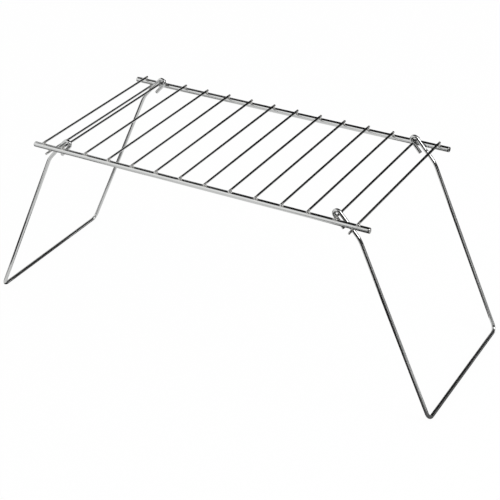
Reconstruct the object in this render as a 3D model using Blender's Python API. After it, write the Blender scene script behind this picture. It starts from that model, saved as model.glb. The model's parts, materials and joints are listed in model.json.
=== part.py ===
"""Folding campfire grill grate of bright plated steel wire.

Two thick side rails carry fourteen thin cross rods on top and two stop rods underneath. A leg at each
end is one wire bent into a U, whose two hairpin hooks hang on a cross rod, the hinge rod. Open, the leg's
upper strands run under the stop rod and over the hinge rod, and the load wedges them there.

Metres, +Z up, +X along the rails. The origin is on the ground, under the middle of the grate.
"""

import math

import bmesh
import bpy
from mathutils import Quaternion, Vector

# Side rails
RAIL_WIRE = 0.0048
RAIL_SPACING = 0.1602  # between the two rails' axes
RAIL_HEIGHT = 0.1641  # rail axis above the ground
RAIL_OVERHANG = 0.0103  # rail end past the end rod

# Cross rods, welded on top of the rails
ROD_WIRE = 0.0020
ROD_OVERHANG = 0.0024  # tip past the rail's axis
ROD_PITCH = 0.02345
ROD_END_PITCH = 0.0197  # from the hinge rod to the end rod
PITCHES_BETWEEN_HINGES = 11

# Stop rods, welded under the rails
STOP_OVERHANG = 0.0060  # tip past the rail's axis
STOP_INSET = 0.0052  # inboard of the end rod

# Legs
LEG_WIRE = 0.0032
LEG_SIDE_GAP = 0.00085  # between an arm and the rail beside it
KINK_PAST_STOP = 0.0103  # along the strand, from its contact with the stop rod
KINK_BEND = math.radians(17.7)
KINK_RADIUS = 0.030
FOOT_BEND_RADIUS = 0.006
HOOK_SLACK = 0.0012  # straight wire past the hinge rod, before the hairpin
HOOK_TAIL = 0.0115  # free end, measured back from the hinge rod

# Fits
WELD_GAP = 0.0003
HINGE_CLEARANCE = 0.0003
STOP_CLEARANCE = 0.0003

# Facets of the round wires, and the small bevel that shears leave on cut ends
RAIL_SIDES = 16
ROD_SIDES = 12
LEG_SIDES = 12
END_BEVEL = 0.0003
HAIRPIN_STEPS = 10
FOOT_BEND_STEPS = 6
KINK_STEPS = 4
SHARP_EDGE = math.radians(40)

# Plated steel
PLATE_COLOUR = (0.74, 0.74, 0.73, 1.0)
RAIL_ROUGHNESS = 0.16
ROD_ROUGHNESS = 0.22
LEG_ROUGHNESS = 0.14

# Directions
ALONG_RAILS = Vector((1, 0, 0))
ACROSS = Vector((0, 1, 0))
UP = Vector((0, 0, 1))

# Places worked out from the sizes above
rail_radius = RAIL_WIRE / 2
rod_radius = ROD_WIRE / 2
leg_radius = LEG_WIRE / 2
rail_y = RAIL_SPACING / 2
rod_offset = rail_radius + WELD_GAP + rod_radius
rod_z = RAIL_HEIGHT + rod_offset
stop_z = RAIL_HEIGHT - rod_offset
hinge_x = ROD_PITCH * PITCHES_BETWEEN_HINGES / 2
end_rod_x = hinge_x + ROD_END_PITCH
stop_x = end_rod_x - STOP_INSET
leg_y = rail_y - rail_radius - LEG_SIDE_GAP - leg_radius


def clear_scene():
    """Removes every object, so that the script can be run again."""
    for item in list(bpy.data.objects):
        bpy.data.objects.remove(item)


def plated_steel(name, roughness):
    """A bright plated wire finish."""
    material = bpy.data.materials.new(name)
    material.use_nodes = True
    shader = material.node_tree.nodes["Principled BSDF"]
    shader.inputs["Base Color"].default_value = PLATE_COLOUR
    shader.inputs["Metallic"].default_value = 1.0
    shader.inputs["Roughness"].default_value = roughness
    return material


def fillet(corner, before, after, radius, steps):
    """Points of an arc that rounds a corner between two straight runs."""
    incoming = (corner - before).normalized()
    outgoing = (after - corner).normalized()
    turn = incoming.angle(outgoing)
    start = corner - incoming * radius * math.tan(turn / 2)
    inward = (outgoing - incoming * incoming.dot(outgoing)).normalized()
    centre = start + inward * radius
    angles = [turn * step / steps for step in range(steps + 1)]
    return [centre + (incoming * math.sin(a) - inward * math.cos(a)) * radius for a in angles]


def tangents(path):
    """The wire's direction at each point, halfway between the runs on its two sides."""
    runs = [(b - a).normalized() for a, b in zip(path, path[1:])]
    between = [(a + b).normalized() for a, b in zip(runs, runs[1:])]
    return [runs[0]] + between + [runs[-1]]


def carried_sides(directions, middle, side):
    """Carries the side vector of one point along the wire both ways, without twist."""
    sides = {middle: side}
    last = len(directions) - 1
    for here in range(middle, last):
        turn = directions[here].rotation_difference(directions[here + 1])
        sides[here + 1] = turn @ sides[here]
    for here in range(middle, 0, -1):
        turn = directions[here].rotation_difference(directions[here - 1])
        sides[here - 1] = turn @ sides[here]
    return [sides[here] for here in range(last + 1)]


def with_bevel_rings(path):
    """The path with a ring added just inside each cut end, where the end's bevel starts."""
    first = path[0] + (path[1] - path[0]).normalized() * END_BEVEL
    last = path[-1] + (path[-2] - path[-1]).normalized() * END_BEVEL
    return [path[0], first] + path[1:-1] + [last, path[-1]]


def wire(name, path, radius, sides, flat, material, origin, turned=0.0):
    """A round wire along a path, with one of its flats facing the way that flat gives at mid length.

    Each ring's corners stand off the axis by radius over the cosine of half a facet's angle, so the flats
    are at the true radius. The path is in world places, and origin is where the object's own origin goes.
    """
    rings = with_bevel_rings(path)
    directions = tangents(rings)
    side_vectors = carried_sides(directions, len(rings) // 2, flat)
    mesh = bmesh.new()
    loops = []
    for index, centre in enumerate(rings):
        at_end = index in (0, len(rings) - 1)
        reach = (radius - END_BEVEL if at_end else radius) / math.cos(math.pi / sides)
        along = directions[index]
        first = (side_vectors[index] - along * along.dot(side_vectors[index])).normalized()
        spokes = [Quaternion(along, (k + 0.5) * math.tau / sides) @ first for k in range(sides)]
        loops.append([mesh.verts.new(centre - origin + spoke * reach) for spoke in spokes])
    for ring, following in zip(loops, loops[1:]):
        for k in range(sides):
            j = (k + 1) % sides
            mesh.faces.new((ring[k], ring[j], following[j], following[k]))
    mesh.faces.new(list(reversed(loops[0])))
    mesh.faces.new(loops[-1])
    data = bpy.data.meshes.new(name)
    mesh.to_mesh(data)
    mesh.free()
    data.shade_smooth()
    data.set_sharp_from_angle(angle=SHARP_EDGE)
    data.materials.append(material)
    item = bpy.data.objects.new(name, data)
    item.location = origin
    item.rotation_euler.z = turned
    bpy.context.scene.collection.objects.link(item)
    return item


def straight_wire(name, centre, half, radius, sides, material):
    """A straight wire centred on a point, from which half reaches to its end, with a flat on top."""
    return wire(name, [centre - half, centre + half], radius, sides, UP, material, centre)


def add_rails():
    """The two side rails."""
    finish = plated_steel("rail_plate", RAIL_ROUGHNESS)
    half = ALONG_RAILS * (end_rod_x + RAIL_OVERHANG)
    for name, y in (("rail_front", -rail_y), ("rail_back", rail_y)):
        centre = Vector((0, y, RAIL_HEIGHT))
        straight_wire(name, centre, half, rail_radius, RAIL_SIDES, finish)


def cross_rod_places():
    """Where the cross rods stand along the rails: even pitches, with a closer rod at each end."""
    inner = [-hinge_x + ROD_PITCH * step for step in range(PITCHES_BETWEEN_HINGES + 1)]
    return [-end_rod_x] + inner + [end_rod_x]


def add_rods():
    """The cross rods on top of the rails, and the two stop rods underneath."""
    finish = plated_steel("rod_plate", ROD_ROUGHNESS)
    half_rod = ACROSS * (rail_y + ROD_OVERHANG)
    half_stop = ACROSS * (rail_y + STOP_OVERHANG)
    for number, x in enumerate(cross_rod_places(), start=1):
        name = f"cross_rod_{number:02d}"
        straight_wire(name, Vector((x, 0, rod_z)), half_rod, rod_radius, ROD_SIDES, finish)
    for name, x in (("stop_rod_left", -stop_x), ("stop_rod_right", stop_x)):
        straight_wire(name, Vector((x, 0, stop_z)), half_stop, rod_radius, ROD_SIDES, finish)


def strand_line():
    """The upper strand of the right leg, seen from the front: under the stop rod and over the hinge rod.

    Returns the strand's axis beside the hinge rod and beside the stop rod, its direction outwards, the
    direction of its upper side, and its slope below the horizontal. The strand crosses between the two
    rods, so the sine of its angle to the line through their centres is both reaches over their distance.
    """
    hinge_reach = rod_radius + leg_radius + HINGE_CLEARANCE
    stop_reach = rod_radius + leg_radius + STOP_CLEARANCE
    run = Vector((stop_x - hinge_x, 0, stop_z - rod_z))
    slope = math.atan2(-run.z, run.x) + math.asin((hinge_reach + stop_reach) / run.length)
    outward = Vector((math.cos(slope), 0, -math.sin(slope)))
    upper_side = Vector((math.sin(slope), 0, math.cos(slope)))
    by_hinge = Vector((hinge_x, 0, rod_z)) + upper_side * hinge_reach
    by_stop = Vector((stop_x, 0, stop_z)) - upper_side * stop_reach
    return by_hinge, by_stop, outward, upper_side, slope


def half_leg_path():
    """Half of the right leg's axis, from the free end of one hook to the middle of the foot bar."""
    by_hinge, by_stop, outward, upper_side, slope = strand_line()
    hairpin_radius = rod_radius + leg_radius + HINGE_CLEARANCE
    hairpin_centre = by_hinge - upper_side * hairpin_radius - outward * HOOK_SLACK
    tail_end = by_hinge - upper_side * 2 * hairpin_radius + outward * HOOK_TAIL
    swing = [math.pi * step / HAIRPIN_STEPS for step in range(HAIRPIN_STEPS + 1)]
    hairpin = [
        hairpin_centre - (upper_side * math.cos(a) + outward * math.sin(a)) * hairpin_radius for a in swing
    ]
    kink = by_stop + outward * KINK_PAST_STOP
    splay = slope + KINK_BEND
    arm = Vector((math.cos(splay), 0, -math.sin(splay)))
    foot = kink + arm * (kink.z - leg_radius) / math.sin(splay)
    side = -ACROSS * leg_y
    kink_arc = fillet(kink, by_hinge, foot, KINK_RADIUS, KINK_STEPS)
    foot_arc = fillet(foot + side, kink + side, foot, FOOT_BEND_RADIUS, FOOT_BEND_STEPS)
    return [point + side for point in [tail_end] + hairpin + kink_arc] + foot_arc + [foot]


def add_legs():
    """The two legs. The left one is the right one turned half round."""
    finish = plated_steel("leg_plate", LEG_ROUGHNESS)
    half = half_leg_path()
    other_half = [Vector((point.x, -point.y, point.z)) for point in reversed(half[:-1])]
    path = half + other_half
    hinge = Vector((hinge_x, 0, rod_z))
    wire("leg_right", path, leg_radius, LEG_SIDES, -UP, finish, hinge)
    left = wire("leg_left", path, leg_radius, LEG_SIDES, -UP, finish, hinge, turned=math.pi)
    left.location.x = -hinge_x


clear_scene()
add_rails()
add_rods()
add_legs()
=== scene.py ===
"""Looks of the folding campfire grill grate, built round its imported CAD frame.

Each wire is made again as a smooth surface in the place of its CAD node, with sheared and rounded cut ends.
The rods get the small flats that welding electrodes press into them, and nuggets join them to the rails.
Metres, +Z up, +X along the rails, the origin on the ground under the middle of the grate.
"""

import json
import math

import bpy
import numpy as np
from bpy.props import FloatProperty, FloatVectorProperty, IntProperty, PointerProperty
from mathutils import Matrix, Vector


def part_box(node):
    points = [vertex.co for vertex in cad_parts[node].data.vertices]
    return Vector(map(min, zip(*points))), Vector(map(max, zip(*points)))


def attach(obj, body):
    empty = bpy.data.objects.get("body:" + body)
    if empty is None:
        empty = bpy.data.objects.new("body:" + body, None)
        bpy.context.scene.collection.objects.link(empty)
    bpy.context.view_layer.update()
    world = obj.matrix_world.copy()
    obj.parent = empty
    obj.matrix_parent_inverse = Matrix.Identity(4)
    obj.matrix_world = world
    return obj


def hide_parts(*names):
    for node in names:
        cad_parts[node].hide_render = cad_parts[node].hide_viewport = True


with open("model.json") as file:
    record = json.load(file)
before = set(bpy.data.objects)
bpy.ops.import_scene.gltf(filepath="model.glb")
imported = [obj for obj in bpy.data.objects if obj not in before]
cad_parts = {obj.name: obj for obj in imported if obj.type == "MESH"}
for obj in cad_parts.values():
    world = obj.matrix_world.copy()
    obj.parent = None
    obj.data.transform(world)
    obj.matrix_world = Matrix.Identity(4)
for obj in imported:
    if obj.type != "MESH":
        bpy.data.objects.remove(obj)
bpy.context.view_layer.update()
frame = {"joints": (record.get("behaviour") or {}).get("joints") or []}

bl_info = {
    "name": "Campfire grill grate",
    "version": (1, 0, 0),
    "blender": (4, 5, 0),
    "location": "3D View > Sidebar > Grill grate",
    "description": "Plated wires, weld nuggets and a plain studio for a folding campfire grill grate",
    "category": "Add Mesh",
}

ALONG_RAILS = np.array((1.0, 0.0, 0.0))
ACROSS = np.array((0.0, 1.0, 0.0))
UP = np.array((0.0, 0.0, 1.0))

RAILS = ["rail_front", "rail_back"]
CROSS_RODS = [f"cross_rod_{number:02d}" for number in range(1, 15)]
STOP_RODS = ["stop_rod_left", "stop_rod_right"]

# Rings of a cut end: those of its cap, as shares of the cap's radius, and the count round its edge
CAP_SHARES = np.array((0.3, 0.6, 0.85))
EDGE_RINGS = 6

# How many edge roundings lie between the cut end of a straight wire and its first full ring
RAIL_END_ROUNDINGS = 4
ROD_END_ROUNDINGS = 3

# Points round a weld nugget, and its rings
NUGGET_SIDES = 24
NUGGET_RINGS = 9

# Each wire's cut ends lean another way. Steps of about the golden angle, in radians, never line up, so no
# two ends or nuggets come out alike. The rails and the stop rods start from leans of their own.
GOLDEN_ANGLE = 2.4
RAIL_LEAN = 1.1
STOP_ROD_LEAN = 20 * GOLDEN_ANGLE

# Furthest that the drawn foot bar may lie from its CAD node
FOOT_TOLERANCE = 0.0003


def linear(code):
    """An sRGB hex colour as linear values: each is divided by 12.92 below 0.04045, and above it 0.055 is
    added, the sum is divided by 1.055 and raised to the power 2.4."""
    values = np.array([int(code[place:place + 2], 16) for place in (0, 2, 4)]) / 255
    bright = ((values + 0.055) / 1.055) ** 2.4
    return tuple(float(value) for value in np.where(values <= 0.04045, values / 12.92, bright))


def length(name, description, default, low=0.0):
    """A length property in metres."""
    return FloatProperty(
        name=name, description=description, default=default, min=low, precision=6,
        unit="LENGTH", subtype="DISTANCE"
    )


def turn(name, description, degrees):
    """An angle property, given in degrees."""
    return FloatProperty(name=name, description=description, default=math.radians(degrees), subtype="ANGLE")


def tint(name, description, code):
    """A colour property, given as an sRGB hex value."""
    return FloatVectorProperty(
        name=name, description=description, default=linear(code), size=3, min=0.0, max=1.0, subtype="COLOR"
    )


def share(name, description, default):
    """A property between 0 and 1."""
    return FloatProperty(
        name=name, description=description, default=default, min=0.0, max=1.0, subtype="FACTOR"
    )


def count(name, description, default, low):
    """A property that is a whole number."""
    return IntProperty(name=name, description=description, default=default, min=low)


class GRATE_PG_wires(bpy.types.PropertyGroup):
    """Fineness of the round wires, and how their ends were cut."""

    rail_sides: count("Rail sides", "Points round a side rail", 48, 12)
    rod_sides: count("Rod sides", "Points round a cross rod or stop rod", 32, 12)
    leg_sides: count("Leg sides", "Points round a leg's wire", 36, 12)
    rail_step: length("Rail step", "Distance between the rings of a rail", 0.0015, 0.0005)
    run_step: length("Run step", "Distance between the rings of a straight run of a rod or leg", 0.004, 0.001)
    weld_zone: length("Weld zone", "Distance from a rail in which a rod's rings are finer", 0.005)
    weld_rings: count("Weld rings", "Rings of a rod in that zone", 18, 4)
    rail_rounding: length("Rail rounding", "Radius of the tumbled edge round a rail's cut end", 0.0005)
    rod_rounding: length("Rod rounding", "Radius of the edge round a rod's cut end", 0.00035)
    leg_rounding: length("Leg rounding", "Radius of the edge round the free end of a hook", 0.0004)
    crown: length("Crown", "How far the middle of a cut end stands proud", 0.00006)
    slant: turn("Slant", "How far the shear left a cut end from square", 3.0)


class GRATE_PG_legs(bpy.types.PropertyGroup):
    """The bends of a leg's wire. Its place comes from the hinge and the stop rod."""

    wire: length("Wire", "Thickness of a leg's wire", 0.0032)
    clearance: length("Clearance", "Between the leg's wire and the rods that it bears on", 0.0003)
    hook_slack: length("Hook slack", "Straight wire past the hinge rod, before the hairpin", 0.0012)
    hook_tail: length("Hook tail", "Free end of the hook, measured back from the hinge rod", 0.0115)
    kink_past_stop: length("Kink past stop", "From the contact with the stop rod to the kink", 0.0103)
    kink_bend: turn("Kink bend", "How far the arm turns down from the upper strand", 17.7)
    kink_radius: length("Kink radius", "Radius of the kink", 0.030)
    foot_radius: length("Foot radius", "Radius of the bend between an arm and the foot bar", 0.006)
    bend_steps: count("Bend steps", "Rings in each bend", 20, 6)
    rod_rub: share("Rub on a rod", "Reach of a rub mark along a rod, as a share of the leg's wire", 0.6)
    hook_rub: length("Rub in a hook", "Distance from a hook's inner side in which its rub mark fades", 0.0006)


class GRATE_PG_welds(bpy.types.PropertyGroup):
    """Resistance welds between the rods and the rails."""

    foot_length: length("Foot length", "Half the nugget's length along the rail", 0.0017)
    foot_width: length("Foot width", "Half the nugget's width across the rail", 0.0015)
    seat_width: length("Seat width", "Half the nugget's width across the rod", 0.0009)
    seat_length: length("Seat length", "Half the nugget's length along the rod", 0.0015)
    waist: share("Waist", "How far the nugget is pulled in at mid height", 0.14)
    sink: length("Sink", "How far the nugget reaches into both wires", 0.00006)
    side: length("Side", "Distance up the nugget's side, for its UV map", 0.001)
    unevenness: share("Unevenness", "Most by which a nugget is wider or narrower than its size", 0.1)
    press: length("Press", "Depth of the flat that the electrode leaves on a rod", 0.00016)
    press_reach: length("Press reach", "Distance along the rod in which that flat fades", 0.0024)
    # The same reach holds the painted highlight that lightens the plate round a weld
    dull_reach: length("Dull reach", "Distance from a weld in which a rail's plating is dulled", 0.0030)
    rod_dull: share("Dull reach on a rod", "The same distance along a rod, as a share of that", 0.8)
    far_side: share("Far side", "How much less the side of a rod away from its weld is dulled", 0.1)


class GRATE_PG_finish(bpy.types.PropertyGroup):
    """Bright plate on drawn steel wire."""

    plate: tint("Plate", "Colour of the bright plate", "C6C7C6")
    # Lighter than the plate: a painted highlight for the glint of the metal squeezed round a weld
    dull_and_glint: tint("Dulled plate", "Colour of the plate over a weld", "E2E1DE")
    cut: tint("Cut plate", "Colour of the plate over a sheared end", "CACAC8")
    rail_roughness: share("Rail roughness", "Roughness of the plate on the rails", 0.10)
    rod_roughness: share("Rod roughness", "Roughness of the plate on the rods", 0.12)
    leg_roughness: share("Leg roughness", "Roughness of the plate on the legs", 0.09)
    line_smooth: share("Smoothest line", "Roughness taken away in the smoothest die lines", 0.02)
    line_rough: share("Roughest line", "Roughness added in the roughest die lines", 0.03)
    patch_roughness: share("Patch roughness", "Roughness added in the duller patches", 0.05)
    skin_roughness: share("Skin roughness", "Roughness added round a weld", 0.42)
    rub_roughness: share("Rub roughness", "Roughness added where the legs rub on the rods", 0.10)
    cut_roughness: share("Cut roughness", "Roughness added on a sheared end", 0.12)
    speck_roughness: share("Speck roughness", "Roughness added in a speck", 0.25)
    speck_shade: share("Speck shade", "Brightness of a speck, as a share of the plate's", 0.45)
    die_line: length("Die line", "Spacing of the lines that the drawing die leaves along the wire", 0.00022)
    die_length: length("Die length", "Length of one such line", 0.022)
    die_depth: length("Die depth", "Depth of one such line", 0.000006)
    ripple: length("Ripple", "Size of the slow ripples in the plate", 0.0035)
    ripple_depth: length("Ripple depth", "Depth of such a ripple", 0.00004)
    patch: length("Patch", "Size of slightly duller patches", 0.014)
    pit: length("Pit spacing", "Distance between specks in the plate", 0.0022)
    skin: length("Skin grain", "Grain of the rough skin round a weld", 0.0008)
    skin_depth: length("Skin depth", "Depth of that grain", 0.00006)
    nugget: length("Nugget grain", "Grain of a weld nugget's skin", 0.0005)
    nugget_depth: length("Nugget depth", "Depth of that grain", 0.00008)
    nugget_smooth: share("Nugget at its smoothest", "Least roughness of a weld nugget", 0.42)
    nugget_rough: share("Nugget at its roughest", "Greatest roughness of a weld nugget", 0.62)


class GRATE_PG_camera(bpy.types.PropertyGroup):
    """The photograph's viewpoint, fitted to the straight wires."""

    lens: FloatProperty(
        name="Lens", description="Focal length on a 36 mm sensor", default=98.718, unit="CAMERA", min=10.0
    )
    azimuth: turn("Azimuth", "Round the grate from its front", 29.336)
    elevation: turn("Elevation", "Above the horizon", 30.279)
    roll: turn("Roll", "Round the line of sight", -0.289)
    distance: length("Distance", "From the point that the camera looks at", 1.175809)
    aim: FloatVectorProperty(
        name="Aim", description="The point that the camera looks at", default=(0.027924, -0.035298, 0.087496),
        size=3, precision=6, unit="LENGTH", subtype="XYZ"
    )


class GRATE_PG_stage(bpy.types.PropertyGroup):
    """A plain pale floor, soft light, and the black and grey cards that give bright metal its dark lines, two
    of them painted contact shadow under the feet.
    """

    paper: tint("Paper", "Colour of the lit paper floor", "F0F0F0")
    floor_size: length("Floor size", "Side of the floor", 8.0)
    floor_light: share("Floor light", "Share of the floor that looks plain white rather than lit paper", 0.96)
    floor_mirrored: share("Floor in metal", "The same share where the metal mirrors the floor", 0.45)
    softbox_watts: FloatProperty(
        name="Softbox", description="Power of the softbox", default=8.5, min=0.0, unit="POWER"
    )
    fill_watts: FloatProperty(
        name="Fill", description="Power of the fill lamp", default=0.8, min=0.0, unit="POWER"
    )
    surround: FloatProperty(
        name="Surround", description="Strength of the world's light on the grate", default=0.9, min=0.0
    )
    # The black cards are studio flags, and under the feet they are painted contact shadow
    black_card_and_shadow: tint("Black card", "Colour of the black cards", "222222")
    dark_card: tint("Dark grey card", "Colour of the dark grey cards", "686868")
    grey_card: tint("Grey card", "Colour of the grey cards", "B0B0B0")


GROUPS = {
    "grate_wires": GRATE_PG_wires, "grate_legs": GRATE_PG_legs, "grate_welds": GRATE_PG_welds,
    "grate_finish": GRATE_PG_finish, "grate_camera": GRATE_PG_camera, "grate_stage": GRATE_PG_stage,
}


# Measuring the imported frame

def corners(node):
    """Lowest and highest corner of a CAD node's box."""
    low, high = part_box(node)
    return np.array(low), np.array(high)


def middle_of(node):
    """Middle of a CAD node's box."""
    low, high = corners(node)
    return (low + high) / 2


def radius_of(node):
    """Radius of a straight wire, which is half of its CAD box's height."""
    low, high = corners(node)
    return (high[2] - low[2]) / 2


def half_length_of(node, along):
    """Half the length of a straight wire that runs along a unit vector."""
    low, high = corners(node)
    return (high - low) @ along / 2


def hinge_place(body):
    """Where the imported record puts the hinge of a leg's body."""
    for joint in frame["joints"]:
        if joint["child"] == body:
            return np.array(joint["pos_m"], float)
    raise RuntimeError(f"the packed record has no hinge for {body}")


def leg_side_places():
    """Where the leg's two strands stand across the grate: just inside the outer faces of its CAD box."""
    low, high = corners("leg_right")
    radius = bpy.context.scene.grate_legs.wire / 2
    return [low[1] + radius, high[1] - radius]


# Surfaces

def unit(vectors):
    """Each vector divided by its length."""
    return vectors / np.linalg.norm(vectors, axis=-1, keepdims=True)


def near(values, places, reach):
    """Closeness to any of the places: the largest of e to the power of minus the squared distance over the
    squared reach."""
    gaps = values[..., None] - np.asarray(places)
    return np.exp(-((gaps / reach) ** 2)).max(-1)


def cut_end(radius, rounding, crown):
    """Depth below the end's middle, and radius, of the rings of a cut end, from its middle outwards. On the
    cap the depth is the crown times the square of the ring's share of the cap's radius. Round the cap a
    quarter circle turns from the cap to the wire's side."""
    bend = np.linspace(0, np.pi / 2, EDGE_RINGS)
    radii = np.concatenate([(radius - rounding) * CAP_SHARES, radius - rounding * (1 - np.sin(bend))])
    depths = np.concatenate([crown * CAP_SHARES ** 2, crown + rounding * (1 - np.cos(bend))])
    return depths, radii


def wire_surface(centres, side_a, side_b, radius, sides, rounding, lean):
    """A round wire along a path. A point is its ring's centre, plus the ring's radius times the cosine of
    its angle along side a, plus the radius times the sine along side b. Side a, side b and the path's
    direction are at right angles, in that order.

    The first and last centre are the middles of the cut ends, and are replaced by the rings of cut_end. The
    shear's slant moves each point of an end inwards by the slant's tangent times the point's height across
    the end, measured from its lowest side. Lean is the angle of that side round the wire.

    Returns the grid of points, the two poles, the distance along the wire and the cut's share of each ring.
    """
    sizes = bpy.context.scene.grate_wires
    depths, radii = cut_end(radius, rounding, sizes.crown)
    rings = len(depths)
    inward = unit(np.stack([centres[1] - centres[0], centres[-2] - centres[-1]]))
    first = centres[0] + depths[:, None] * inward[0]
    last = centres[-1] + depths[::-1, None] * inward[1]
    between = centres[1:-1]
    middles = np.concatenate([first, between, last])
    ring_radii = np.concatenate([radii, np.full(len(between), radius), radii[::-1]])
    ring_a, ring_b = (
        np.concatenate([np.repeat(side[:1], rings, 0), side[1:-1], np.repeat(side[-1:], rings, 0)])
        for side in (side_a, side_b)
    )
    angles = np.linspace(0, 2 * np.pi, sides, endpoint=False)
    spokes = np.cos(angles)[:, None] * ring_a[:, None] + np.sin(angles)[:, None] * ring_b[:, None]
    points = middles[:, None] + ring_radii[:, None, None] * spokes
    height = radius + ring_radii[:, None] * np.cos(angles - lean)
    slope = math.tan(sizes.slant)
    points[:rings] += slope * height[:rings, :, None] * inward[0]
    points[-rings:] += slope * height[-rings:, :, None] * inward[1]
    poles = centres[[0, -1]] + slope * radius * inward
    steps = np.linalg.norm(np.diff(middles, axis=0), axis=1) + np.abs(np.diff(ring_radii))
    along = np.concatenate([[0.0], np.cumsum(steps)])
    cap = 1 - np.clip((depths - sizes.crown) / rounding, 0, 1)
    cut = np.concatenate([cap, np.zeros(len(between)), cap[::-1]])
    return points, poles, along, cut


def grid_faces(rows, sides):
    """Faces of a closed tube of rings: quads that turn outwards, and a fan of triangles to each pole. The
    poles follow the grid's points."""
    ring, here = np.meshgrid(np.arange(rows - 1), np.arange(sides), indexing="ij")
    after = (here + 1) % sides
    low, high = ring * sides, (ring + 1) * sides
    quads = np.stack([low + here, low + after, high + after, high + here], -1).reshape(-1, 4)
    side = np.arange(sides)
    beside = (side + 1) % sides
    top = (rows - 1) * sides
    start = np.stack([np.full(sides, rows * sides), beside, side], -1)
    end = np.stack([np.full(sides, rows * sides + 1), top + side, top + beside], -1)
    return quads, np.concatenate([start, end])


def grid_uvs(along, sides, girth):
    """UVs in metres of the quads and then the triangles of grid_faces: U is the distance round the wire, V
    the distance along it. The last face of a ring ends at the full girth, so that the seam has no jump."""
    ring, here = np.meshgrid(np.arange(len(along) - 1), np.arange(sides), indexing="ij")
    step = girth / sides
    left, right = here * step, (here + 1) * step
    low, high = along[ring], along[ring + 1]
    quads = np.stack([left, low, right, low, right, high, left, high], -1).reshape(-1, 2)
    near_side, far_side = np.arange(sides) * step, (np.arange(sides) + 1) * step
    fans = []
    for place, first, second in ((along[0], far_side, near_side), (along[-1], near_side, far_side)):
        level = np.full(sides, place)
        fans.append(np.stack([near_side + step / 2, level, first, level, second, level], -1).reshape(-1, 2))
    return quads, np.concatenate(fans)


def make_mesh_object(name, points, quads, triangles, uvs, marks):
    """A mesh object at the origin with smooth faces, a UV map and one float attribute for each mark."""
    mesh = bpy.data.meshes.new(name)
    mesh.from_pydata(points.tolist(), [], quads.tolist() + triangles.tolist())
    mesh.uv_layers.new(name="wire").uv.foreach_set("vector", uvs.astype(np.float32).ravel())
    for mark, values in marks.items():
        mesh.attributes.new(mark, "FLOAT", "POINT").data.foreach_set("value", values.astype(np.float32))
    mesh.shade_smooth()
    mesh.validate()
    item = bpy.data.objects.new(name, mesh)
    bpy.context.scene.collection.objects.link(item)
    return item


def add_wire(node, surface, radius, material, body, weld=0.0, rub=0.0):
    """Puts a wire's surface into a mesh, gives it its finish, and lets it stand for its CAD node. Weld and
    rub are the closeness of each point to a weld and to a place where a leg rubs."""
    points, poles, along, cut = surface
    rows, sides = points.shape[:2]
    every = np.concatenate([points.reshape(-1, 3), poles])
    quads, triangles = grid_faces(rows, sides)
    uvs = np.concatenate(grid_uvs(along, sides, 2 * np.pi * radius))
    marks = {"cut": np.concatenate([np.repeat(cut, sides), [1.0, 1.0]])}
    for mark, values in (("weld", weld), ("rub", rub)):
        marks[mark] = np.concatenate([np.broadcast_to(values, (rows, sides)).ravel(), [0.0, 0.0]])
    item = make_mesh_object(f"{node}_wire", every, quads, triangles, uvs, marks)
    item.data.materials.append(material)
    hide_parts(node)
    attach(item, body)


# Finishes

def add_node(tree, kind, inputs=None, **settings):
    """Adds one node with its settings. Each input is a value, or a socket that is linked to it."""
    node = tree.nodes.new(kind)
    for name, value in settings.items():
        setattr(node, name, value)
    for name, value in (inputs or {}).items():
        if isinstance(value, bpy.types.NodeSocket):
            tree.links.new(value, node.inputs[name])
        else:
            node.inputs[name].default_value = value
    return node


def new_material(name):
    """A new material with its node tree and its own shader."""
    material = bpy.data.materials.new(name)
    material.use_nodes = True
    return material, material.node_tree, material.node_tree.nodes["Principled BSDF"]


def make_metal(tree, shader, colour, rough, relief):
    """Makes the shader a metal with this colour, roughness and relief."""
    tree.links.new(colour, shader.inputs["Base Color"])
    tree.links.new(rough, shader.inputs["Roughness"])
    tree.links.new(relief, shader.inputs["Normal"])
    shader.inputs["Metallic"].default_value = 1.0


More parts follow.
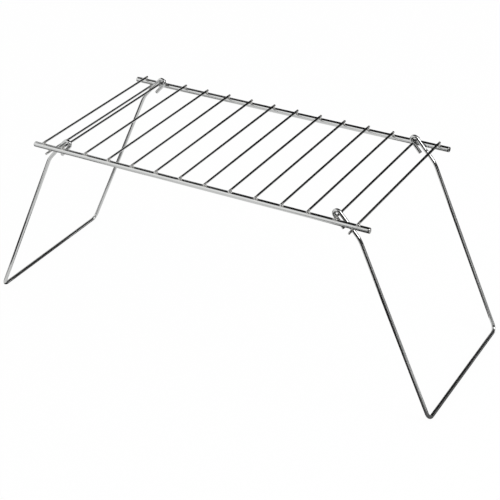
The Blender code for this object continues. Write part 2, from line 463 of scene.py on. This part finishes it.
def drawn_wire_plate(name, roughness, offset):
    """Bright chrome plate, electroplated on drawn steel wire. It gives the eye a clear, slightly wavy mirror
    drawn out along the wire, with faint lines from the drawing die, a few specks, a rougher skin round the
    welds, painted lighter as a highlight, and a satin look on the sheared ends. Offset sets the die lines of
    one kind of wire apart from another's."""
    finish = bpy.context.scene.grate_finish
    if name in bpy.data.materials:
        return bpy.data.materials[name]
    material, tree, shader = new_material(name)
    uv = add_node(tree, "ShaderNodeUVMap", uv_map="wire").outputs["UV"]
    place = add_node(tree, "ShaderNodeTexCoord").outputs["Object"]
    weld, rub, cut = (
        add_node(tree, "ShaderNodeAttribute", attribute_name=mark).outputs["Fac"]
        for mark in ("weld", "rub", "cut")
    )

    # Die lines: a noise squeezed to their spacing across the wire and stretched to their length along it.
    # Real ones are too fine to show, so these are drawn coarser. They draw the highlights out.
    scale = (1 / finish.die_line, 1 / finish.die_length, 1.0)
    stretched = add_node(tree, "ShaderNodeMapping", {"Vector": uv, "Location": offset, "Scale": scale})
    lines = add_node(
        tree, "ShaderNodeTexNoise", {"Vector": stretched.outputs[0], "Scale": 1.0, "Detail": 3.0}
    ).outputs["Fac"]

    # Slow ripples in the thickness of the plate, and larger patches where it came out duller
    ripples = add_node(
        tree, "ShaderNodeTexNoise", {"Vector": place, "Scale": 1 / finish.ripple, "Detail": 1.0}
    ).outputs["Fac"]
    patches = add_node(
        tree, "ShaderNodeTexNoise",
        {"Vector": place, "Scale": 1 / finish.patch, "Detail": 2.0, "Roughness": 0.6}
    ).outputs["Fac"]

    # Specks: the cells whose own shade is brightest, about one in ten, hold one small speck round their
    # point, about a seventh of the cells' size across and soft at its edge
    cells = add_node(
        tree, "ShaderNodeTexVoronoi", {"Vector": place, "Scale": 1 / finish.pit, "Randomness": 1.0}
    )
    chosen = add_node(
        tree, "ShaderNodeMapRange", {"Value": cells.outputs["Color"], "From Min": 0.78, "From Max": 0.8}
    ).outputs["Result"]
    dot = add_node(
        tree, "ShaderNodeMapRange",
        {"Value": cells.outputs["Distance"], "From Min": 0.05, "From Max": 0.09, "To Min": 1.0, "To Max": 0.0}
    ).outputs["Result"]
    speck = add_node(tree, "ShaderNodeMath", {0: chosen, 1: dot}, operation="MULTIPLY").outputs[0]

    # The skin round a weld: its grain is added to the closeness of the weld, so that its edge is ragged. It
    # starts where that sum passes the first limit, and is whole at the second. It roughens the plate, and the
    # lighter colour that it mixes in is a painted highlight.
    grain = add_node(
        tree, "ShaderNodeTexNoise", {"Vector": place, "Scale": 1 / finish.skin, "Detail": 3.0}
    ).outputs["Fac"]
    ragged = add_node(
        tree, "ShaderNodeMath", {0: grain, 1: 0.9, 2: weld}, operation="MULTIPLY_ADD"
    ).outputs[0]
    skin = add_node(
        tree, "ShaderNodeMapRange", {"Value": ragged, "From Min": 0.75, "From Max": 1.35}, clamp=True
    ).outputs["Result"]
    rough_skin = add_node(tree, "ShaderNodeMath", {0: skin, 1: grain}, operation="MULTIPLY").outputs[0]

    # Colour: plate, with the skin's painted highlight, the sheared ends and the specks over it
    colour = add_node(
        tree, "ShaderNodeMix", {"Factor": skin, "A": (*finish.plate, 1.0), "B": (*finish.dull_and_glint, 1.0)},
        data_type="RGBA"
    ).outputs["Result"]
    colour = add_node(
        tree, "ShaderNodeMix", {"Factor": cut, "A": colour, "B": (*finish.cut, 1.0)}, data_type="RGBA"
    ).outputs["Result"]
    shade = add_node(
        tree, "ShaderNodeMapRange", {"Value": speck, "To Min": 1.0, "To Max": finish.speck_shade}
    ).outputs["Result"]
    colour = add_node(
        tree, "ShaderNodeMix", {"Factor": 1.0, "A": colour, "B": shade},
        data_type="RGBA", blend_type="MULTIPLY"
    ).outputs["Result"]

    # Roughness: the wire's own, a little less or more from line to line, with what each mark adds. The two
    # limits hold nearly all of the noise's values.
    rough = add_node(
        tree, "ShaderNodeMapRange",
        {"Value": lines, "From Min": 0.3, "From Max": 0.7,
         "To Min": roughness - finish.line_smooth, "To Max": roughness + finish.line_rough}
    ).outputs["Result"]
    for value, amount in (
        (patches, finish.patch_roughness), (skin, finish.skin_roughness), (rub, finish.rub_roughness),
        (cut, finish.cut_roughness), (speck, finish.speck_roughness),
    ):
        rough = add_node(
            tree, "ShaderNodeMath", {0: value, 1: amount, 2: rough}, operation="MULTIPLY_ADD"
        ).outputs[0]

    # Relief: ripples, die lines on them, and the grain of the skin on both
    under = {}
    for height, strength, depth in (
        (ripples, 0.5, finish.ripple_depth), (lines, 0.35, finish.die_depth),
        (rough_skin, 0.5, finish.skin_depth),
    ):
        bump = add_node(
            tree, "ShaderNodeBump", {"Height": height, "Strength": strength, "Distance": depth, **under}
        )
        under = {"Normal": bump.outputs["Normal"]}
    make_metal(tree, shader, colour, rough, bump.outputs["Normal"])
    return material


def weld_plate(name):
    """Bright plate over a resistance weld nugget. The rough skin of the melted steel under the plate gives
    the eye a grainy grey with only a soft glint. Its pale colour is a painted highlight."""
    finish = bpy.context.scene.grate_finish
    material, tree, shader = new_material(name)
    place = add_node(tree, "ShaderNodeTexCoord").outputs["Object"]
    grain = add_node(
        tree, "ShaderNodeTexNoise",
        {"Vector": place, "Scale": 1 / finish.nugget, "Detail": 4.0, "Roughness": 0.6}
    ).outputs["Fac"]
    # Grain between the pale colour, a painted highlight, and the plate
    colour = add_node(
        tree, "ShaderNodeMix", {"Factor": grain, "A": (*finish.dull_and_glint, 1.0), "B": (*finish.plate, 1.0)},
        data_type="RGBA"
    ).outputs["Result"]
    rough = add_node(
        tree, "ShaderNodeMapRange",
        {"Value": grain, "To Min": finish.nugget_smooth, "To Max": finish.nugget_rough}
    ).outputs["Result"]
    bump = add_node(
        tree, "ShaderNodeBump", {"Height": grain, "Strength": 0.6, "Distance": finish.nugget_depth}
    )
    make_metal(tree, shader, colour, rough, bump.outputs["Normal"])
    return material


# Operators for the pieces

class GRATE_OT_side_rails(bpy.types.Operator):
    """Make the two side rails"""

    bl_idname = "grate.side_rails"
    bl_label = "Side rails"

    def execute(self, context):
        sizes = context.scene.grate_wires
        reach = context.scene.grate_welds.dull_reach
        material = drawn_wire_plate(
            "chrome_plate_on_drawn_rail_wire", context.scene.grate_finish.rail_roughness, (0.0, 0.0, 0.0)
        )
        above = [middle_of(rod)[0] for rod in CROSS_RODS]
        below = [middle_of(rod)[0] for rod in STOP_RODS]
        for number, node in enumerate(RAILS):
            radius, middle, half = radius_of(node), middle_of(node), half_length_of(node, ALONG_RAILS)
            inner = half - RAIL_END_ROUNDINGS * sizes.rail_rounding
            plain = np.linspace(-inner, inner, int(2 * inner / sizes.rail_step))
            stations = np.concatenate([[-half], plain, [half]])
            surface = wire_surface(
                middle + stations[:, None] * ALONG_RAILS, np.tile(ACROSS, (len(stations), 1)),
                np.tile(UP, (len(stations), 1)), radius, sizes.rail_sides, sizes.rail_rounding,
                RAIL_LEAN + GOLDEN_ANGLE * number
            )
            points = surface[0]
            # The welds of the cross rods roughen a rail's upper half, those of the stop rods its lower half,
            # and paint it lighter there as a highlight
            height = (points[..., 2] - middle[2]) / radius
            weld = near(points[..., 0], above, reach) * np.clip(height, 0, 1)
            weld += near(points[..., 0], below, reach) * np.clip(-height, 0, 1)
            add_wire(node, surface, radius, material, "grate", weld=weld)
        return {"FINISHED"}


def add_rod(node, press_way, rub_places, lean):
    """One rod across the rails. Over each rail the side away from it is pressed flat: a point's height is
    held under the radius less the press's depth times its closeness to the rail. Press way is 1 for a rod
    on top of the rails and -1 for one underneath."""
    sizes = bpy.context.scene.grate_wires
    welds = bpy.context.scene.grate_welds
    legs = bpy.context.scene.grate_legs
    material = drawn_wire_plate(
        "chrome_plate_on_drawn_rod_wire", bpy.context.scene.grate_finish.rod_roughness, (0.31, 0.17, 0.0)
    )
    radius, middle, half = radius_of(node), middle_of(node), half_length_of(node, ACROSS)
    rail_places = [middle_of(rail)[1] for rail in RAILS]
    rail_y = max(rail_places)
    inner = half - ROD_END_ROUNDINGS * sizes.rod_rounding
    zone = np.linspace(rail_y - sizes.weld_zone, min(rail_y + sizes.weld_zone, inner), sizes.weld_rings)
    plain = np.linspace(-zone[0], zone[0], int(2 * zone[0] / sizes.run_step))[1:-1]
    stations = np.concatenate([[-half], -zone[::-1], plain, zone, [half]])
    surface = wire_surface(
        middle + stations[:, None] * ACROSS, np.tile(UP, (len(stations), 1)),
        np.tile(ALONG_RAILS, (len(stations), 1)), radius, sizes.rod_sides, sizes.rod_rounding, lean
    )
    points = surface[0]
    closeness = near(points[..., 1], rail_places, welds.press_reach)
    height = (points[..., 2] - middle[2]) * press_way
    height = np.minimum(height, radius - welds.press * closeness)
    points[..., 2] = middle[2] + height * press_way
    # Closeness to a weld: rougher plate, and a lighter colour that is a painted highlight
    weld = near(points[..., 1], rail_places, welds.dull_reach * welds.rod_dull)
    weld *= 1 - welds.far_side * height / radius
    rub = near(points[..., 1], rub_places, legs.wire * legs.rod_rub) if rub_places else 0.0
    add_wire(node, surface, radius, material, "grate", weld=weld, rub=rub)


class GRATE_OT_cross_rods(bpy.types.Operator):
    """Make the cross rods on top of the rails"""

    bl_idname = "grate.cross_rods"
    bl_label = "Cross rods"

    def execute(self, context):
        hinges = [hinge_place(body)[0] for body in ("leg_left", "leg_right")]
        for number, node in enumerate(CROSS_RODS):
            is_hinge = np.isclose(middle_of(node)[0], hinges, atol=radius_of(node)).any()
            add_rod(node, 1, leg_side_places() if is_hinge else None, GOLDEN_ANGLE * number)
        return {"FINISHED"}


class GRATE_OT_stop_rods(bpy.types.Operator):
    """Make the stop rods under the rails"""

    bl_idname = "grate.stop_rods"
    bl_label = "Stop rods"

    def execute(self, context):
        for number, node in enumerate(STOP_RODS):
            add_rod(node, -1, leg_side_places(), STOP_ROD_LEAN + GOLDEN_ANGLE * number)
        return {"FINISHED"}


def nugget(rail_radius, rod_radius, rod_height):
    """A weld nugget between a rail along X and a rod along Y above it, with the rail's axis at the origin:
    its grid of points and its two poles.

    Its foot is an oval laid on the rail, whose height is the root of the rail's radius squared less the
    squared distance across the rail. Its seat is an oval under the rod, whose height is the rod's less the
    root of its radius squared less the squared distance across the rod. Both are sunk a little into the
    wire. A ring at share t blends from foot to seat, and is pulled in by the waist times the sine of pi t.
    """
    sizes = bpy.context.scene.grate_welds
    angle = np.linspace(0, 2 * np.pi, NUGGET_SIDES, endpoint=False)
    foot_x, foot_y = sizes.foot_length * np.cos(angle), sizes.foot_width * np.sin(angle)
    foot = np.stack([foot_x, foot_y, np.sqrt(rail_radius ** 2 - foot_y ** 2) - sizes.sink], -1)
    seat_x, seat_y = sizes.seat_width * np.cos(angle), sizes.seat_length * np.sin(angle)
    seat = np.stack([seat_x, seat_y, rod_height - np.sqrt(rod_radius ** 2 - seat_x ** 2) + sizes.sink], -1)
    level = np.linspace(0, 1, NUGGET_RINGS)[:, None, None]
    points = (1 - level) * foot + level * seat
    points[..., :2] *= 1 - sizes.waist * np.sin(np.pi * level)
    poles = np.array([(0, 0, rail_radius - sizes.sink), (0, 0, rod_height - rod_radius + sizes.sink)])
    return points, poles


class GRATE_OT_welds(bpy.types.Operator):
    """Make the weld nuggets between the rods and the rails"""

    bl_idname = "grate.welds"
    bl_label = "Welds"

    def execute(self, context):
        welds = context.scene.grate_welds
        material = weld_plate("chrome_plate_on_weld_nugget")
        groups = {
            "rod_welds_front": (CROSS_RODS, RAILS[:1], 1), "rod_welds_back": (CROSS_RODS, RAILS[1:], 1),
            "stop_rod_welds": (STOP_RODS, RAILS, -1),
        }
        for name, (rods, rails, way) in groups.items():
            rail_z = middle_of(rails[0])[2]
            rod_height = abs(middle_of(rods[0])[2] - rail_z)
            points, poles = nugget(radius_of(rails[0]), radius_of(rods[0]), rod_height)
            rows, sides = points.shape[:2]
            # A half turn about X takes the nugget from the top of a rail to its underside
            one = np.concatenate([points.reshape(-1, 3), poles]) * (1, way, way)
            places = np.array([
                (middle_of(rod)[0], middle_of(rail)[1], rail_z) for rail in rails for rod in rods
            ])
            copies = len(places)
            # No two nuggets were squeezed out quite alike, along the rail or across it
            spread = 1 + welds.unevenness * np.sin(np.arange(copies) * GOLDEN_ANGLE + len(rods))
            sized = one * np.stack([spread, spread[::-1], np.ones(copies)], -1)[:, None]
            every = (sized + places[:, None]).reshape(-1, 3)
            first = (np.arange(copies) * len(one))[:, None, None]
            quads, triangles = (
                (faces + first).reshape(-1, faces.shape[1]) for faces in grid_faces(rows, sides)
            )
            along = np.linspace(0, welds.side, rows)
            girth = 2 * np.pi * welds.foot_width
            uvs = [np.tile(part, (copies, 1)) for part in grid_uvs(along, sides, girth)]
            item = make_mesh_object(name, every, quads, triangles, np.concatenate(uvs), {})
            item.data.materials.append(material)
            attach(item, "grate")
        return {"FINISHED"}


def straight_run(start, end, step):
    """Points strictly between two places, evenly spread, about a step apart."""
    parts = max(int(np.linalg.norm(end - start) / step), 1)
    return start + (end - start) * np.linspace(0, 1, parts + 1)[1:-1, None]


def fillet(corner, before, after, radius, steps):
    """Points and directions of an arc that rounds a corner between two straight runs. Its centre stands a
    radius inwards from where the incoming run leaves the corner by the radius times the tangent of half the
    turn. A point is the centre, plus the radius times the sine of its angle along the incoming run, less
    the radius times the cosine along the inward direction."""
    incoming, outgoing = unit(corner - before), unit(after - corner)
    bend = math.acos(float(incoming @ outgoing))
    inward = unit(outgoing - incoming * (incoming @ outgoing))
    centre = corner - incoming * radius * math.tan(bend / 2) + inward * radius
    angle = np.linspace(0, bend, steps + 1)[:, None]
    points = centre + radius * (np.sin(angle) * incoming - np.cos(angle) * inward)
    return points, np.cos(angle) * incoming + np.sin(angle) * inward


def half_leg():
    """Half of the right leg's axis, from the free end of one hook to the middle of the foot bar: points,
    directions and the side vector of the rings.

    The upper strand runs over the hinge rod and under the stop rod. The sine of its angle to the line
    through their centres is both reaches over their distance. The hook is a half circle behind the hinge
    rod. The side vector is the direction crossed with Y down to the foot bend, and keeps that value on.
    """
    legs = bpy.context.scene.grate_legs
    step = bpy.context.scene.grate_wires.run_step
    radius = legs.wire / 2
    side = -ACROSS * leg_side_places()[1]
    hinge = hinge_place("leg_right") * (1, 0, 1) + side
    stop = middle_of("stop_rod_right") + side
    reach = radius_of("stop_rod_right") + radius + legs.clearance
    run = stop - hinge
    slope = math.atan2(-run[2], run[0]) + math.asin(2 * reach / np.linalg.norm(run))
    outward = np.array((math.cos(slope), 0, -math.sin(slope)))
    upper = np.array((math.sin(slope), 0, math.cos(slope)))
    by_hinge, by_stop = hinge + upper * reach, stop - upper * reach
    kink = by_stop + outward * legs.kink_past_stop
    splay = slope + legs.kink_bend
    arm = np.array((math.cos(splay), 0, -math.sin(splay)))
    foot = kink + arm * (kink[2] - radius) / math.sin(splay)
    bar_middle = foot - side
    if abs(foot[0] + radius - corners("leg_right")[1][0]) > FOOT_TOLERANCE:
        raise RuntimeError(f"the foot bar is drawn at x {foot[0]:.5f}, away from its CAD node")

    swing = np.linspace(0, np.pi, legs.bend_steps * 2 + 1)[:, None]
    tail_end = by_hinge - upper * 2 * reach + outward * legs.hook_tail
    hook_centre = by_hinge - upper * reach - outward * legs.hook_slack
    hook = hook_centre - (upper * np.cos(swing) + outward * np.sin(swing)) * reach
    hook_way = upper * np.sin(swing) - outward * np.cos(swing)
    bend, bend_way = fillet(kink, by_hinge, foot, legs.kink_radius, legs.bend_steps)
    corner, corner_way = fillet(foot, kink, bar_middle, legs.foot_radius, legs.bend_steps)
    upper_runs = [
        (tail_end[None], -outward), (straight_run(tail_end, hook[0], step / 2), -outward), (hook, hook_way),
        (straight_run(hook[-1], bend[0], step / 2), outward), (bend, bend_way),
        (straight_run(bend[-1], corner[0], step), arm),
    ]
    lower_runs = [
        (corner, corner_way), (straight_run(corner[-1], bar_middle, step), ACROSS),
        (bar_middle[None], ACROSS),
    ]
    points = np.concatenate([places for places, _ in upper_runs + lower_runs])
    ways = np.concatenate([np.broadcast_to(way, places.shape) for places, way in upper_runs + lower_runs])
    sides = np.cross(ways, ACROSS)
    sides[sum(len(places) for places, _ in upper_runs):] = np.cross(arm, ACROSS)
    return points, ways, unit(sides)


class GRATE_OT_legs(bpy.types.Operator):
    """Make the two folding legs"""

    bl_idname = "grate.legs"
    bl_label = "Legs"

    def execute(self, context):
        sizes = context.scene.grate_wires
        legs = context.scene.grate_legs
        radius = legs.wire / 2
        material = drawn_wire_plate(
            "chrome_plate_on_bent_leg_wire", context.scene.grate_finish.leg_roughness, (0.62, 0.43, 0.0)
        )
        points, ways, sides = half_leg()
        mirror = np.array((1, -1, 1))
        centres = np.concatenate([points, (points * mirror)[-2::-1]])
        along = np.concatenate([ways, (-ways * mirror)[-2::-1]])
        side_b = np.concatenate([sides, sides[-2::-1]])
        inner_side = radius_of("cross_rod_01") + legs.clearance
        for node, way, lean in (("leg_right", 1, 0.7), ("leg_left", -1, 1.7)):
            # A half turn about Z makes the left leg. Its cut ends lean another way.
            spin = np.array((way, way, 1))
            across = side_b * spin
            surface = wire_surface(
                centres * spin, np.cross(across, along * spin), across, radius, sizes.leg_sides,
                sizes.leg_rounding, lean
            )
            from_hinge = surface[0] - hinge_place(node)
            rub = near(np.hypot(from_hinge[..., 0], from_hinge[..., 2]), [inner_side], legs.hook_rub)
            add_wire(node, surface, radius, material, node, rub=rub)
        return {"FINISHED"}


# The stage

def sheet(name, middle, width, height, material):
    """A flat sheet on the stage. Each corner is the middle, plus or minus each of the two half sides."""
    shares = np.array([(-1, -1), (1, -1), (1, 1), (-1, 1)], float)
    points = np.array(middle) + shares[:, :1] * np.array(width) + shares[:, 1:] * np.array(height)
    mesh = bpy.data.meshes.new(name)
    mesh.from_pydata(points.tolist(), [], [(0, 1, 2, 3)])
    mesh.materials.append(material)
    item = bpy.data.objects.new(name, mesh)
    bpy.context.scene.collection.objects.link(item)
    return item


def paper_floor(stage):
    """Matt white paper. It shows plain white to the camera and in the metal, and keeps a soft shadow."""
    material, tree, _ = new_material("matt_white_paper")
    tree.nodes.clear()
    rays = add_node(tree, "ShaderNodeLightPath").outputs
    mirrored = add_node(
        tree, "ShaderNodeMath", {0: rays["Is Glossy Ray"], 1: rays["Is Transmission Ray"]},
        operation="MAXIMUM"
    ).outputs[0]
    direct = add_node(
        tree, "ShaderNodeMath", {0: rays["Is Camera Ray"], 1: stage.floor_light}, operation="MULTIPLY"
    ).outputs[0]
    part = add_node(
        tree, "ShaderNodeMath", {0: mirrored, 1: stage.floor_mirrored, 2: direct}, operation="MULTIPLY_ADD"
    ).outputs[0]
    lit = add_node(tree, "ShaderNodeBsdfDiffuse", {"Color": (*stage.paper, 1.0)}).outputs[0]
    plain = add_node(tree, "ShaderNodeEmission", {"Strength": 1.0}).outputs[0]
    mixed = add_node(tree, "ShaderNodeMixShader", {0: part, 1: lit, 2: plain}).outputs[0]
    add_node(tree, "ShaderNodeOutputMaterial", {"Surface": mixed})
    return material


def white_surround(stage):
    """A world that is plain white to the camera and in the metal, and lights the rest at its own strength."""
    world = bpy.data.worlds.new("white_surround")
    world.use_nodes = True
    tree = world.node_tree
    tree.nodes.clear()
    rays = add_node(tree, "ShaderNodeLightPath").outputs
    either = add_node(
        tree, "ShaderNodeMath", {0: rays["Is Camera Ray"], 1: rays["Is Glossy Ray"]}, operation="MAXIMUM"
    ).outputs[0]
    seen = add_node(
        tree, "ShaderNodeMath", {0: either, 1: rays["Is Transmission Ray"]}, operation="MAXIMUM"
    ).outputs[0]
    strength = add_node(
        tree, "ShaderNodeMapRange", {"Value": seen, "To Min": stage.surround, "To Max": 1.0}
    ).outputs["Result"]
    light = add_node(
        tree, "ShaderNodeBackground", {"Color": (1.0, 1.0, 1.0, 1.0), "Strength": strength}
    ).outputs[0]
    add_node(tree, "ShaderNodeOutputWorld", {"Surface": light})
    return world


def matt_card(name, tone):
    """Matt card, a studio flag. Only the metal sees it, as a dark line. The black ones under the feet are
    painted contact shadow.
    """
    material, _, shader = new_material(name)
    shader.inputs["Base Color"].default_value = (*tone, 1.0)
    shader.inputs["Roughness"].default_value = 0.9
    shader.inputs["Specular IOR Level"].default_value = 0.1
    return material


def add_softbox(name, place, target, size, watts):
    """A square area lamp that faces a point."""
    lamp = bpy.data.lights.new(name, "AREA")
    lamp.shape = "RECTANGLE"
    lamp.size = lamp.size_y = size
    lamp.energy = watts
    item = bpy.data.objects.new(name, lamp)
    item.location = place
    item.rotation_euler = (Vector(target) - Vector(place)).to_track_quat("-Z", "Y").to_euler()
    item.visible_camera = False
    bpy.context.scene.collection.objects.link(item)


class GRATE_OT_stage(bpy.types.Operator):
    """Make the floor, the lamps, the black and grey cards and the white background"""

    bl_idname = "grate.stage"
    bl_label = "Stage"

    def execute(self, context):
        stage = context.scene.grate_stage
        half = stage.floor_size / 2
        # The paper lies just clear of the feet
        sheet("floor", (0, 0, -0.0002), (half, 0, 0), (0, half, 0), paper_floor(stage))
        black = matt_card("matt_black_card", stage.black_card_and_shadow)
        dark = matt_card("matt_dark_grey_card", stage.dark_card)
        grey = matt_card("matt_grey_card", stage.grey_card)
        # Each card's middle and its two half sides. The high left one hangs just before the one behind it.
        cards = {
            "card_behind": (black, (0.04, 0.50, 0.20), (0.46, 0, 0), (0, 0, 0.20)),
            "card_behind_right": (dark, (0.77, 0.50, 0.20), (0.27, 0, 0), (0, 0, 0.20)),
            "card_behind_high": (black, (0.12, 0.50, 0.80), (0.92, 0, 0), (0, 0, 0.40)),
            "card_behind_high_left": (grey, (-0.49, 0.495, 0.65), (0.15, 0, 0), (0, 0, 0.19)),
            "card_overhead": (black, (-0.145, -0.02, 1.2), (0.745, 0, 0), (0, -0.52, 0)),
            "card_low_behind": (black, (0.34, 0.385, 0.002), (0.70, -0.07, 0), (0, 0.10, 0)),
            "card_front": (black, (-0.01, -0.82, 0.45), (0.11, 0, 0), (0, 0, 0.45)),
            "card_front_right": (black, (0.45, -0.61, 0.35), (0.37, 0.20, 0), (0, 0, 0.35)),
            "card_low_front": (black, (0.195, -0.47, 0.001), (0.255, 0, 0), (0, 0.18, 0)),
            "card_low_before": (black, (0.135, -0.17, 0.001), (0.075, 0, 0), (0, 0.12, 0)),
            "card_low_far_right": (dark, (0.385, -0.13, 0.001), (0.175, 0, 0), (0, 0.16, 0)),
            "card_low_right": (black, (0.12, 0.02, 0.001), (0.08, 0, 0), (0, 0.07, 0)),
            "card_low_left": (black, (-0.62, -0.04, 0.001), (0.29, 0, 0), (0, 0.24, 0)),
            "card_before_leg": (black, (-0.265, -0.15, 0.001), (0.065, 0, 0), (0, 0.04, 0)),
            "card_by_leg": (grey, (-0.28, 0.015, 0.001), (0.05, 0, 0), (0, 0.125, 0)),
            "card_far_before_leg": (grey, (-0.23, -0.215, 0.001), (0.10, 0, 0), (0, 0.025, 0)),
            "card_under_leg": (dark, (-0.18, -0.015, 0.001), (0.035, 0, 0), (0, 0.045, 0)),
            "card_low_beyond": (grey, (0.31, 0.18, 0.001), (0.09, 0, 0), (0, 0.09, 0)),
            "card_right": (grey, (1.1, 0.05, 0.12), (0, 0.45, 0), (0, 0, 0.12)),
            "card_right_high": (black, (1.15, 0.05, 0.44), (0, 0.60, 0), (0, 0, 0.18)),
            # Painted contact shadow: black cards under the foot bars, where the floor is only in the bars'
            # shade, so that the bars mirror it dark
            "painted_shadow_under_right_foot": (black, (0.2190, 0, 0.0002), (0.007, 0, 0), (0, 0.076, 0)),
            "painted_shadow_under_left_foot": (black, (-0.2155, 0, 0.0002), (0.0035, 0, 0), (0, 0.076, 0)),
        }
        for name, (card, middle, width, height) in cards.items():
            item = sheet(name, middle, width, height, card)
            for ray in ("camera", "diffuse", "transmission", "shadow", "volume_scatter"):
                setattr(item, f"visible_{ray}", False)
        add_softbox("softbox", (1.5, 0.10, 1.05), (0.1, 0, 0.15), 0.6, stage.softbox_watts)
        add_softbox("fill", (-0.75, -1.3, 0.9), (0, 0, 0.15), 1.0, stage.fill_watts)
        context.scene.world = white_surround(stage)
        context.scene.view_settings.view_transform = "Standard"
        return {"FINISHED"}


class GRATE_OT_camera(bpy.types.Operator):
    """Set the camera up where the photograph was taken"""

    bl_idname = "grate.camera"
    bl_label = "Camera"

    def execute(self, context):
        view = context.scene.grate_camera
        around, above = view.azimuth, view.elevation
        level = math.cos(above)
        back = Vector((math.sin(around) * level, -math.cos(around) * level, math.sin(above)))
        right = Vector((math.cos(around), math.sin(around), 0))
        up = back.cross(right)
        turned = right * math.cos(view.roll) + up * math.sin(view.roll)
        upright = back.cross(turned)
        lens = bpy.data.cameras.new("camera")
        lens.lens = view.lens
        lens.sensor_width = 36.0
        lens.clip_start = 0.05
        lens.clip_end = 20.0
        camera = bpy.data.objects.new("camera", lens)
        axes = Matrix((turned, upright, back)).transposed().to_4x4()
        camera.matrix_world = Matrix.Translation(Vector(view.aim) + back * view.distance) @ axes
        context.scene.collection.objects.link(camera)
        context.scene.camera = camera
        return {"FINISHED"}


PIECES = (
    GRATE_OT_side_rails, GRATE_OT_cross_rods, GRATE_OT_stop_rods, GRATE_OT_welds, GRATE_OT_legs,
    GRATE_OT_stage, GRATE_OT_camera,
)


class GRATE_PT_sidebar(bpy.types.Panel):
    """Lists the operators and their sizes"""

    bl_idname = "GRATE_PT_sidebar"
    bl_label = "Grill grate"
    bl_space_type = "VIEW_3D"
    bl_region_type = "UI"
    bl_category = "Grill grate"

    def draw(self, context):
        for piece in PIECES:
            self.layout.operator(piece.bl_idname)
        for name in GROUPS:
            group = getattr(context.scene, name)
            box = self.layout.box()
            for value in group.bl_rna.properties:
                if value.identifier not in ("rna_type", "name"):
                    box.prop(group, value.identifier)


def register():
    """Registers the sizes, the operators and the panel."""
    for name, group in GROUPS.items():
        bpy.utils.register_class(group)
        setattr(bpy.types.Scene, name, PointerProperty(type=group))
    for item in (*PIECES, GRATE_PT_sidebar):
        bpy.utils.register_class(item)


def unregister():
    """Takes them away again, in the opposite order."""
    for item in (GRATE_PT_sidebar, *reversed(PIECES)):
        bpy.utils.unregister_class(item)
    for name, group in reversed(GROUPS.items()):
        delattr(bpy.types.Scene, name)
        bpy.utils.unregister_class(group)


def main():
    """Makes every piece and the stage."""
    register()
    for make in (
        bpy.ops.grate.side_rails, bpy.ops.grate.cross_rods, bpy.ops.grate.stop_rods, bpy.ops.grate.welds,
        bpy.ops.grate.legs, bpy.ops.grate.stage, bpy.ops.grate.camera,
    ):
        make()


if __name__ == "__main__":
    main()
